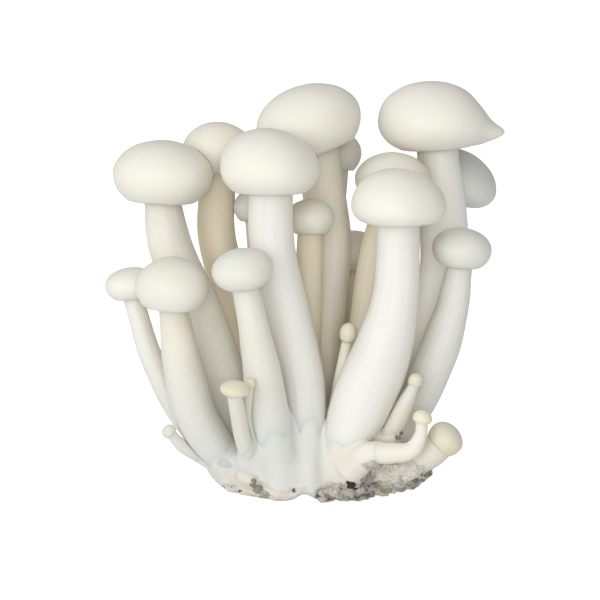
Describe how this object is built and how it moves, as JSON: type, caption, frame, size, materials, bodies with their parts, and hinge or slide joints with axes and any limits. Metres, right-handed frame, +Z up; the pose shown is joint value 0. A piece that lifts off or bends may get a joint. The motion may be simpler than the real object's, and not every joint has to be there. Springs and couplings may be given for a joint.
{
  "type": "bunch of white shimeji mushrooms",
  "caption": "Fresh white shimeji bunch: satin domed caps on tall curving stems, with small pins between them, all grown from one shared white foot with a crust of growing medium.",
  "frame": {"origin": "middle of the foot's flat underside, on the surface that the bunch stands on", "axes": "+Z up towards the caps, +X to the right and +Y to the back, as seen by a viewer who faces the bunch's front"},
  "size_m": [0.0959, 0.0622, 0.0972],
  "materials": {
    "flesh": "satin, off-white, slightly translucent",
    "pin_flesh": "satin, cream",
    "mycelium": "matt, felted",
    "growing_medium": "rough, crumbly"
  },
  "bodies": {
    "root": {"mushroom_front_right_thick": "flesh", "mushroom_front_centre_short": "flesh", "mushroom_front_left_leaning": "flesh", "mushroom_front_centre_tall": "flesh", "mushroom_right_club": "flesh", "mushroom_left_tall": "flesh", "mushroom_far_left_slender": "flesh", "mushroom_inner_right": "flesh", "mushroom_right_tall": "flesh", "mushroom_centre_tall": "flesh", "mushroom_centre_hidden": "flesh", "mushroom_left_tall_behind": "flesh", "mushroom_back_left_button": "flesh", "mushroom_back_centre": "flesh", "mushroom_back_right_tipped": "flesh", "mushroom_back_low_right": "flesh", "mushroom_back_low_centre": "flesh", "mushroom_back_low_left": "flesh", "mushroom_back_left_small": "flesh", "pin_front_left": "pin_flesh", "pin_front_left_second": "pin_flesh", "pin_far_left": "pin_flesh", "pin_centre": "pin_flesh", "pin_right_slender": "pin_flesh", "pin_front_right_bent": "pin_flesh", "pin_far_right_stout": "pin_flesh", "pin_back_left": "pin_flesh", "pin_back_centre": "pin_flesh", "pin_back_right": "pin_flesh", "foot": "mycelium", "growing_medium": "growing_medium"}
  },
  "joints": []
}
